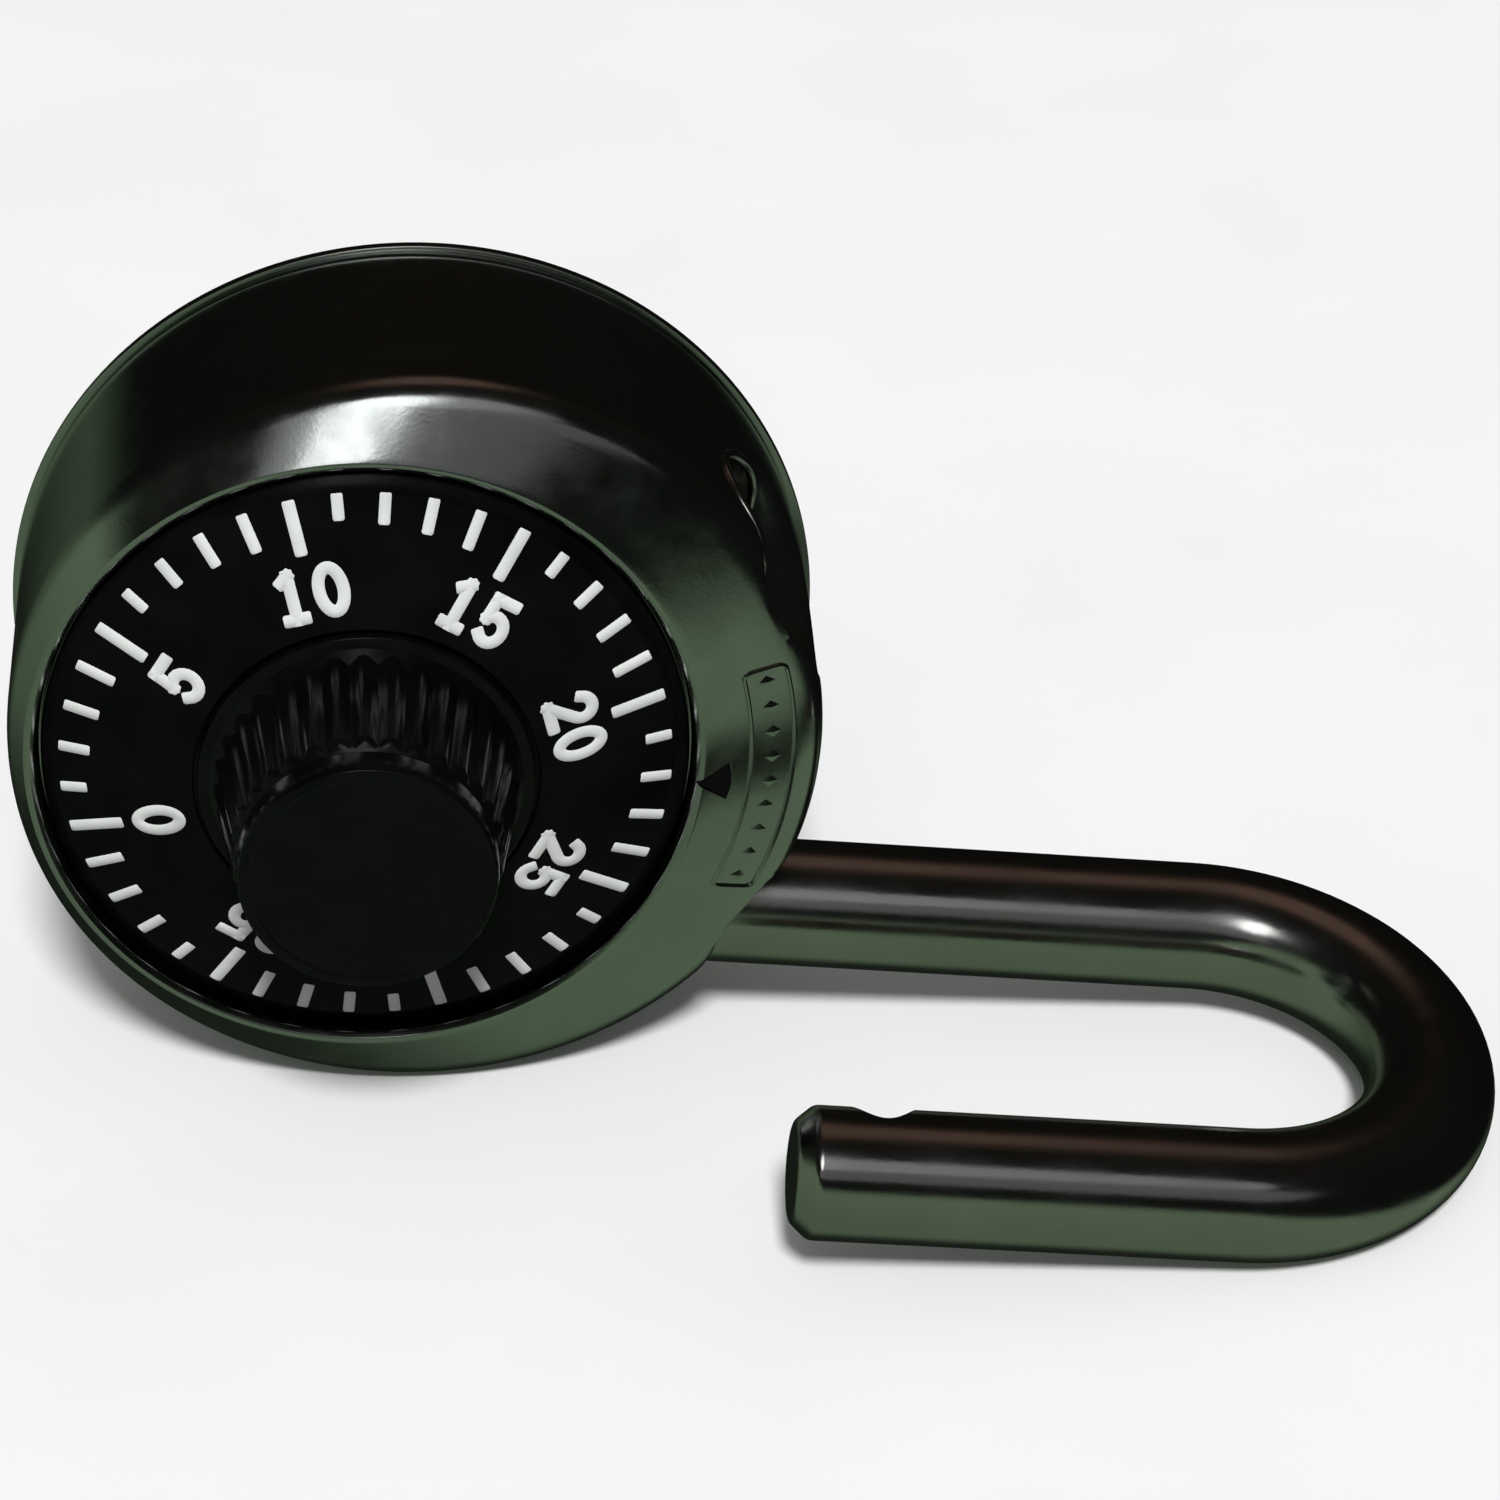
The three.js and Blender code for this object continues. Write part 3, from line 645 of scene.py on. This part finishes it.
def cone_y(radius):
    """Height of the dial's cone at a radius."""
    return MARK_Y - CONE_SLOPE * (MARK_R - radius)


def dial_skin():
    """The conical dial disc round the knob's seat."""
    outline = filleted([
        (2.8, -21.16, 0.0),
        (SEAT_R, -21.16, 0.1),
        (SEAT_R, cone_y(SEAT_R), 0.08),
        (MARK_R + 0.15, cone_y(MARK_R + 0.15), 0.35),
        (DIAL_R, -18.75, 0.25),
        (DIAL_R, WELL_FLOOR - 0.3, 0.1),
        (2.8, WELL_FLOOR - 0.3, 0.0),
    ])
    piece = to_object(lathe(outline), "dial_skin", dial_black, "dial")
    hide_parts("dial_disc")


def on_dial(angle, radial, across, height):
    """A point on the dial's cone: `angle` clockwise from the top, then offsets from its radius."""
    s, c = math.sin(angle), math.cos(angle)
    x = radial * s + across * c
    z = radial * c - across * s
    return (DIAL_X + x, cone_y(min(math.hypot(x, z), MARK_R)) - height, z)


def stroke(bm, path, half, place):
    """A painted line with blunt, softly rounded ends along a path of (across, radial) points."""
    pts = [Vector(p) for p in path]
    closed = (pts[0] - pts[-1]).length < 1e-6
    if closed:
        pts = pts[:-1]
    count = len(pts)
    sections = []
    for i, p in enumerate(pts):
        if closed:
            ahead = pts[(i + 1) % count] - pts[i - 1]
        else:
            ahead = pts[min(i + 1, count - 1)] - pts[max(i - 1, 0)]
        sections.append((p, ahead.normalized(), half))
    if not closed:
        first, start, _ = sections[0]
        last, end, _ = sections[-1]
        for out, wide in reversed(STROKE_ENDS):
            sections.insert(0, (first - start * half * out, start, half * wide))
            sections.append((last + end * half * out, end, half * wide))
    rows = []
    for p, ahead, width in sections:
        side = Vector((-ahead.y, ahead.x))
        row = []
        for share, height in PAINT:
            q = p + side * (share * width)
            row.append(bm.verts.new(place(q.x, q.y, height)))
        rows.append(row)
    pairs = list(zip(rows, rows[1:]))
    if closed:
        pairs.append((rows[-1], rows[0]))
    for a, b in pairs:
        for i in range(len(PAINT) - 1):
            bm.faces.new((a[i], a[i + 1], b[i + 1], b[i]))


def arc(x, y, rx, ry, start, end, steps=14):
    """Points on an ellipse, angles in degrees anticlockwise from its right."""
    out = []
    for i in range(steps + 1):
        angle = math.radians(start + (end - start) * i / steps)
        out.append((x + rx * math.cos(angle), y + ry * math.sin(angle)))
    return out


def line(*corners):
    """A polyline with enough points to follow the dial's cone."""
    out = []
    for a, b in zip(corners, corners[1:]):
        for i in range(5):
            out.append((a[0] + (b[0] - a[0]) * i / 5, a[1] + (b[1] - a[1]) * i / 5))
    return out + [corners[-1]]


def digit_paths(digit):
    """Centre lines of a numeral, its foot at 0 and its middle at x = 0."""
    low, high = STROKE / 2, DIGIT_H - STROKE / 2
    middle = (low + high) / 2
    if digit == "0":
        return [arc(0, middle, 0.7, middle - low, 0, 360, 32)]
    if digit == "1":
        return [
            line((0, low), (0, high)),
            line((-0.45, low), (0.45, low)),
            line((0, high), (-0.42, high - 0.32)),
        ]
    if digit == "2":
        bowl = arc(0, high - 0.68, 0.68, 0.68, 165, -35, 14)
        return [bowl + line(bowl[-1], (-0.66, low))[1:], line((-0.66, low), (0.72, low))]
    if digit == "3":
        upper = arc(-0.02, high - 0.6, 0.6, 0.6, 160, -90, 14)
        lower = arc(-0.02, low + 0.68, 0.7, 0.68, 90, -160, 14)
        return [upper, lower]
    # The only numeral left is the 5.
    bowl = arc(-0.02, low + 0.78, 0.7, 0.78, 138, -140, 16)
    return [
        line((0.6, high), (-0.5, high)),
        line((-0.5, high), (-0.56, bowl[0][1])),
        bowl,
    ]


def dial_marks():
    """Forty marks and a numeral at every fifth, in white."""
    bm = bmesh.new()
    for number in range(MARKS):
        angle = math.radians(ZERO_ANGLE + number * 360 / MARKS)

        def place(across, radial, height, angle=angle):
            return on_dial(angle, radial, across, height)

        half = MARK_W / 2
        if number % 5 == 0:
            half *= 1.1
        inner = MARK_ENDS[number % 5] + half
        stroke(bm, line((0, inner), (0, MARK_R - half)), half, place)
        if number % 5:
            continue
        text = str(number)
        for i, digit in enumerate(text):
            shift = (i - (len(text) - 1) / 2) * DIGIT_PITCH
            for path in digit_paths(digit):
                moved = [(x + shift, y + DIGIT_FOOT) for x, y in path]
                stroke(bm, moved, STROKE / 2, place)
    to_object(bm, "dial_marks", white_paint, "dial", 70)


# ---------------------------------------------------------------- knob


def fluted_row(radius, y, depth):
    """A ring about the dial's axis with a flute of this depth at every step."""
    row = []
    count = FLUTES * 12
    for i in range(count):
        angle = 2 * math.pi * i / count
        wave = math.sin(FLUTES * angle / 2) ** 2
        hollow = math.sqrt(wave + FLUTE_SOFTNESS) / math.sqrt(1 + FLUTE_SOFTNESS)
        r = radius - depth * (1 - hollow)
        row.append((DIAL_X + r * math.sin(angle), y, r * math.cos(angle)))
    return row


def knob_skin():
    """Collar, tapered fluted grip and the neck under the cap."""
    collar = filleted([
        (2.9, -21.4, 0.0),
        (9.8, -21.4, 0.05),
        (9.8, -21.95, 0.18),
        (9.05, KNURL_FOOT_Y - 0.05, 0.1),
        (9.0, KNURL_FOOT_Y - 0.08, 0.0),
    ], 4)
    rows = [fluted_row(r, y, 0) for r, y in collar[1:]]
    length = KNURL_FOOT_Y - 0.1 - KNURL_TOP_Y
    steps = 44
    for i in range(steps + 1):
        t = i / steps
        fade = min(1.0, FLUTE_FADE * t, FLUTE_FADE * (1 - t))
        depth = FLUTE_DEPTH * math.sin(fade * math.pi / 2)
        radius = KNURL_FOOT_R + (KNURL_TOP_R - KNURL_FOOT_R) * t
        if t > 0.95:  # the front end of the grip is rounded off
            radius -= 0.3 * ((t - 0.95) / 0.05) ** 2
        rows.append(fluted_row(radius, KNURL_FOOT_Y - 0.1 - length * t, depth))
    for r, y in ((7.3, -30.0), (7.2, -30.1), (5.3, -30.12), (5.3, -28.4), (2.9, -28.4)):
        rows.append(fluted_row(r, y, 0))
    bm = bmesh.new()
    grid(bm, rows)
    piece = to_object(bm, "knob_skin", knob_black, "dial", 40)
    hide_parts("knob")


def cap_skin():
    """The plain front cap of the knob."""
    outline = filleted([
        (0.01, -28.7, 0.0),
        (4.95, -28.7, 0.1),
        (4.95, -30.4, 0.0),
        (CAP_R, -30.4, 0.15),
        (CAP_R - 0.02, -31.6, 0.1),
        (CAP_R - 0.1, CAP_Y, 0.55),
        (6.75, CAP_Y, 0.1),
        (6.6, CAP_Y + 0.1, 0.1),
        (0.01, CAP_Y + 0.1, 0.0),
    ])
    piece = to_object(turned(outline[1:-1]), "cap_skin", knob_black, "dial")
    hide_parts("knob_cap")


# ---------------------------------------------------------------- shackle


def bar_stations():
    """[radius, distance along the bar] from the heel to the toe."""
    total = HEEL_RUN + BEND_RUN + TOE_RUN
    start = filleted([
        (0.02, 0.0, 0.0),
        (BAR_R - 0.5, 0.0, 0.1),
        (BAR_R, 0.5, 0.15),
        (BAR_R, GROOVE[0], 0.05),
        (GROOVE_R, GROOVE[0], 0.05),
        (GROOVE_R, GROOVE[1], 0.05),
        (BAR_R, GROOVE[1], 0.05),
        (BAR_R, 4.0, 0.0),
    ], 3)[1:]
    end = filleted([
        (BAR_R, total - 3.0, 0.0),
        (BAR_R, total - 1.1, 0.3),
        (BAR_R - 0.95, total, 0.3),
        (0.02, total, 0.0),
        (0.02, total - 3.0, 0.0),
    ], 4)[:-2]
    middle = []
    steps = 150
    for i in range(1, steps):
        middle.append((BAR_R, 4.0 + (total - 7.0) * i / steps))
    return start + middle + end


def bend_point(across, depth, along):
    """Carries a point of the straight bar on to the bent one. The heel leg is the X axis."""
    radius = LEG_SPACING / 2
    turn = min(1.0, max(0.0, (along - HEEL_RUN) / BEND_RUN)) * math.pi
    before = min(along, HEEL_RUN)
    after = max(0.0, along - HEEL_RUN - BEND_RUN)
    reach = radius - across
    x = HEEL_X + before + reach * math.sin(turn) - after
    return Vector((x, depth, radius - reach * math.cos(turn)))


def swung():
    """From the shackle shut in the case's plane to the shackle swung forward."""
    turn = Matrix.Rotation(math.radians(SWING), 4, "X")
    return Matrix.Translation((0, LEG_Y, -LEG_SPACING / 2)) @ turn


def notch_cutter():
    """The latch notch: a rounded saddle across the inside of the short leg."""
    half = NOTCH_W / 2 + 0.6
    outline = []
    for step in range(25):
        x = half * (1 - step / 12)
        rise = math.cos(math.pi * x / (2 * half)) ** 0.9
        outline.append((x, -NOTCH_DEPTH * (1 - rise)))
    outline = [(half + 0.1, -3), *outline, (-half - 0.1, -3)]
    bm = prism(outline, -6, 6)
    place = Matrix.Translation((NOTCH_X, 0, LEG_SPACING))
    place = place @ Matrix.Rotation(math.radians(NOTCH_TURN), 4, "X")
    place = place @ Matrix.Translation((0, 0, NOTCH_DEPTH - BAR_R))
    bm.transform(swung() @ place)
    return bm


def shackle_skin():
    """The bent bar with its heel groove and the latch notch."""
    bm = bmesh.new()
    rows = []
    sides = 72
    for radius, along in bar_stations():
        row = []
        for i in range(sides):
            angle = 2 * math.pi * i / sides
            row.append(bend_point(radius * math.cos(angle), radius * math.sin(angle), along))
        rows.append(row)
    rings = grid(bm, rows, closed=False)
    cap(bm, rings[0])
    cap(bm, rings[-1])
    bm.transform(swung())
    piece = to_object(bm, "shackle_skin", shackle_steel, "shackle", 30)
    carve(piece, [notch_cutter()], 30)
    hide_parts("shackle")


# ---------------------------------------------------------------- latch spring


def spring_coil():
    """The coil spring under the latch, at one fixed length."""
    turns = 5
    per_turn = 28
    pitch = (SPRING_TOP - SPRING_FOOT - 2 * WIRE_R) / turns
    bm = bmesh.new()
    rows = []
    for step in range(turns * per_turn + 1):
        angle = 2 * math.pi * step / per_turn
        out = Vector((math.cos(angle), math.sin(angle), 0))
        row = []
        for side in range(WIRE_SIDES):
            turn = 2 * math.pi * side / WIRE_SIDES
            reach = SPRING_R + WIRE_R * math.cos(turn)
            rise = SPRING_FOOT + WIRE_R + pitch * step / per_turn + WIRE_R * math.sin(turn)
            row.append(Vector((SPRING_X, SPRING_Y, rise)) + out * reach)
        rows.append(row)
    rings = grid(bm, rows, closed=False)
    cap(bm, rings[0])
    cap(bm, rings[-1])
    piece = to_object(bm, "spring_coil", spring_steel, "lever", 60)
    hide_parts("latch_spring")
    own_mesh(piece)


# ---------------------------------------------------------------- finishes of the other pieces

FINISHES = {
    "plate_steel": plate_steel,
    "hard_steel": hard_steel,
    "spring_steel": spring_steel,
    "wheel_brass": wheel_brass,
    "zinc": zinc,
    "case_steel": case_steel,
    "dial_black": dial_black,
    "knob_black": knob_black,
    "shackle_steel": shackle_steel,
}


def finish_cad_nodes():
    """Gives each inner piece the finish of its material slot."""
    for entry in frame["record"]["subparts"]:
        node = frame["nodes"][entry["node"]]
        node.data.materials.clear()
        node.data.materials.append(FINISHES[entry["material_slot"]])


# ---------------------------------------------------------------- stage, light and camera


def floor():
    """A pale floor that touches the underside of the drum and of the shackle's crown."""
    bar_z = -LEG_SPACING / 2 + LEG_SPACING * math.cos(math.radians(SWING)) - BAR_R
    far = CROWN_X + 6
    tilt = math.radians(5.0)
    for _ in range(20):  # each round brings the tilt closer to touching both
        tilt = math.atan2(bar_z + COVER_R / math.cos(tilt), far)
    bm = bmesh.new()
    size = 4000
    corners = [(-size, -size, 0), (size, -size, 0), (size, size, 0), (-size, size, 0)]
    bm.faces.new([bm.verts.new(p) for p in corners])
    place = Matrix.Rotation(-tilt, 4, "Y") @ Matrix.Translation((0, 0, -COVER_R - 0.05))
    bm.transform(place)
    in_metres(bm)
    piece = link_mesh(bm, "floor")
    material, tree, shader = new_material("floor_paper")
    tree.links.new(
        ramp(tree, noise(tree, 40), (0.86, 0.86, 0.86), (0.89, 0.89, 0.89)),
        shader.inputs["Base Color"],
    )
    shader.inputs["Roughness"].default_value = 0.8
    piece.data.materials.append(material)
    piece.visible_glossy = False
    piece.visible_diffuse = False


def soft_dome():
    """A large pale dome that lights the scene evenly and casts no shadow."""
    bm = bmesh.new()
    bmesh.ops.create_icosphere(bm, subdivisions=4, radius=3.5)
    piece = link_mesh(bm, "dome")
    material = bpy.data.materials.new("dome_light")
    material.use_nodes = True
    tree = material.node_tree
    tree.nodes.clear()
    glow = tree.nodes.new("ShaderNodeEmission")
    glow.inputs["Color"].default_value = (1, 1, 1, 1)
    glow.inputs["Strength"].default_value = 0.25
    out = tree.nodes.new("ShaderNodeOutputMaterial")
    tree.links.new(glow.outputs[0], out.inputs["Surface"])
    piece.data.materials.append(material)
    piece.visible_glossy = False
    piece.visible_shadow = False


def stops(tree, source, colours):
    """A colour ramp over -1 to 1."""
    scale = tree.nodes.new("ShaderNodeMapRange")
    scale.inputs["From Min"].default_value = -1
    scale.inputs["From Max"].default_value = 1
    band = tree.nodes.new("ShaderNodeValToRGB")
    elements = band.color_ramp.elements
    while len(elements) < len(colours):
        elements.new(0.5)
    for element, (position, colour) in zip(elements, colours):
        element.position = (position + 1) / 2
        element.color = (*colour, 1)
    tree.links.new(source, scale.inputs["Value"])
    tree.links.new(scale.outputs["Result"], band.inputs["Fac"])
    return band.outputs["Color"]


def facing(tree, where, axis):
    """How far a direction points along an axis."""
    node = tree.nodes.new("ShaderNodeVectorMath")
    node.operation = "DOT_PRODUCT"
    node.inputs[1].default_value = axis
    tree.links.new(where.outputs["Generated"], node.inputs[0])
    return node.outputs["Value"]


def mix_colours(tree, blend, a, b):
    """Multiplies or adds two colours."""
    node = tree.nodes.new("ShaderNodeMix")
    node.data_type = "RGBA"
    node.blend_type = blend
    node.inputs["Factor"].default_value = 1
    colours = [i for i in node.inputs if i.type == "RGBA"]
    tree.links.new(a, colours[0])
    tree.links.new(b, colours[1])
    return next(o for o in node.outputs if o.type == "RGBA")


def surroundings():
    """What the steel mirrors: a dark room, a green table below and a warm glow overhead."""
    world = bpy.data.worlds.new("room")
    world.use_nodes = True
    tree = world.node_tree
    where = tree.nodes.new("ShaderNodeTexCoord")
    table = stops(tree, facing(tree, where, (0.4, 0.25, 1.0)), (
        (-0.95, (0.11, 0.158, 0.1)),
        (-0.16, (0.135, 0.188, 0.12)),
        (-0.03, (0.003, 0.0035, 0.003)),
    ))
    # The table gets darker far behind the lock and straight beneath it.
    shade_behind = stops(tree, facing(tree, where, (0.0, 1.0, 0.0)), (
        (0.2, (1, 1, 1)),
        (0.85, (0.33, 0.37, 0.33)),
    ))
    shaded = mix_colours(tree, "MULTIPLY", table, shade_behind)
    shade_beneath = stops(tree, facing(tree, where, (0.0, 0.6, -0.8)), (
        (0.7, (1, 1, 1)),
        (0.8, (0.55, 0.55, 0.55)),
        (0.9, (0.12, 0.12, 0.12)),
    ))
    shaded = mix_colours(tree, "MULTIPLY", shaded, shade_beneath)
    ceiling = stops(tree, facing(tree, where, (0.0, 0.4, 0.917)), (
        (0.2, (0.003, 0.003, 0.003)),
        (0.91, (0.006, 0.005, 0.004)),
        (0.96, (0.03, 0.018, 0.013)),
        (0.985, (0.1, 0.063, 0.048)),
    ))
    both = mix_colours(tree, "ADD", shaded, ceiling)
    tree.links.new(both, tree.nodes["Background"].inputs["Color"])
    bpy.context.scene.world = world


def add_light(light, direction):
    """Puts a light into the scene, shining along a direction."""
    piece = bpy.data.objects.new(light.name, light)
    piece.rotation_mode = "QUATERNION"
    piece.rotation_quaternion = direction.to_track_quat("-Z", "Y")
    bpy.context.scene.collection.objects.link(piece)
    return piece


def lamp(name, location, size, power):
    """An oval lamp that faces the lock. `size` is its width and height."""
    light = bpy.data.lights.new(name, "AREA")
    light.shape = "ELLIPSE"
    light.size, light.size_y = size
    light.energy = power
    light.color = (0.98, 0.99, 1)
    piece = add_light(light, Vector(LAMP_AIM) - Vector(location))
    piece.location = location


def key_lamp():
    """A distant soft lamp in front of the lock and above it, which the steel doesn't mirror."""
    light = bpy.data.lights.new("key_lamp", "SUN")
    light.energy = 3.3
    light.angle = math.radians(9)
    piece = add_light(light, Vector(KEY_DIRECTION))
    piece.visible_glossy = False


def camera():
    """The camera, in front of the lock and above it."""
    eye = bpy.data.cameras.new("camera")
    eye.sensor_width = 36
    eye.lens = CAMERA_LENS
    eye.clip_start = 0.01
    eye.clip_end = 100
    piece = bpy.data.objects.new("camera", eye)
    bpy.context.scene.collection.objects.link(piece)
    up = Vector(CAMERA_UP)
    back = Vector(CAMERA_RIGHT).cross(up).normalized()
    right = up.cross(back).normalized()
    turn = Matrix((right, up.normalized(), back)).transposed()
    piece.matrix_world = Matrix.Translation(Vector(CAMERA_EYE) * MM) @ turn.to_4x4()
    bpy.context.scene.camera = piece


camera()
surroundings()
floor()
soft_dome()
lamp("front_lamp", (-0.047, -0.245, 0.26), (0.12, 0.14), 0.075)
lamp("front_window", (-0.01, -0.245, 0.265), (0.34, 0.13), 0.028)
lamp("front_glow", (0.04, -0.31, 0.18), (0.42, 0.12), 0.014)
key_lamp()
bpy.context.scene.view_settings.view_transform = "Standard"

finish_cad_nodes()
case_skin()
index_paint()
hole_lip("heel_hole_lip", -LEG_SPACING / 2)
hole_lip("toe_hole_lip", LEG_SPACING / 2)
bevel_badge()
cover_skin()
dial_skin()
dial_marks()
knob_skin()
cap_skin()
shackle_skin()
spring_coil()
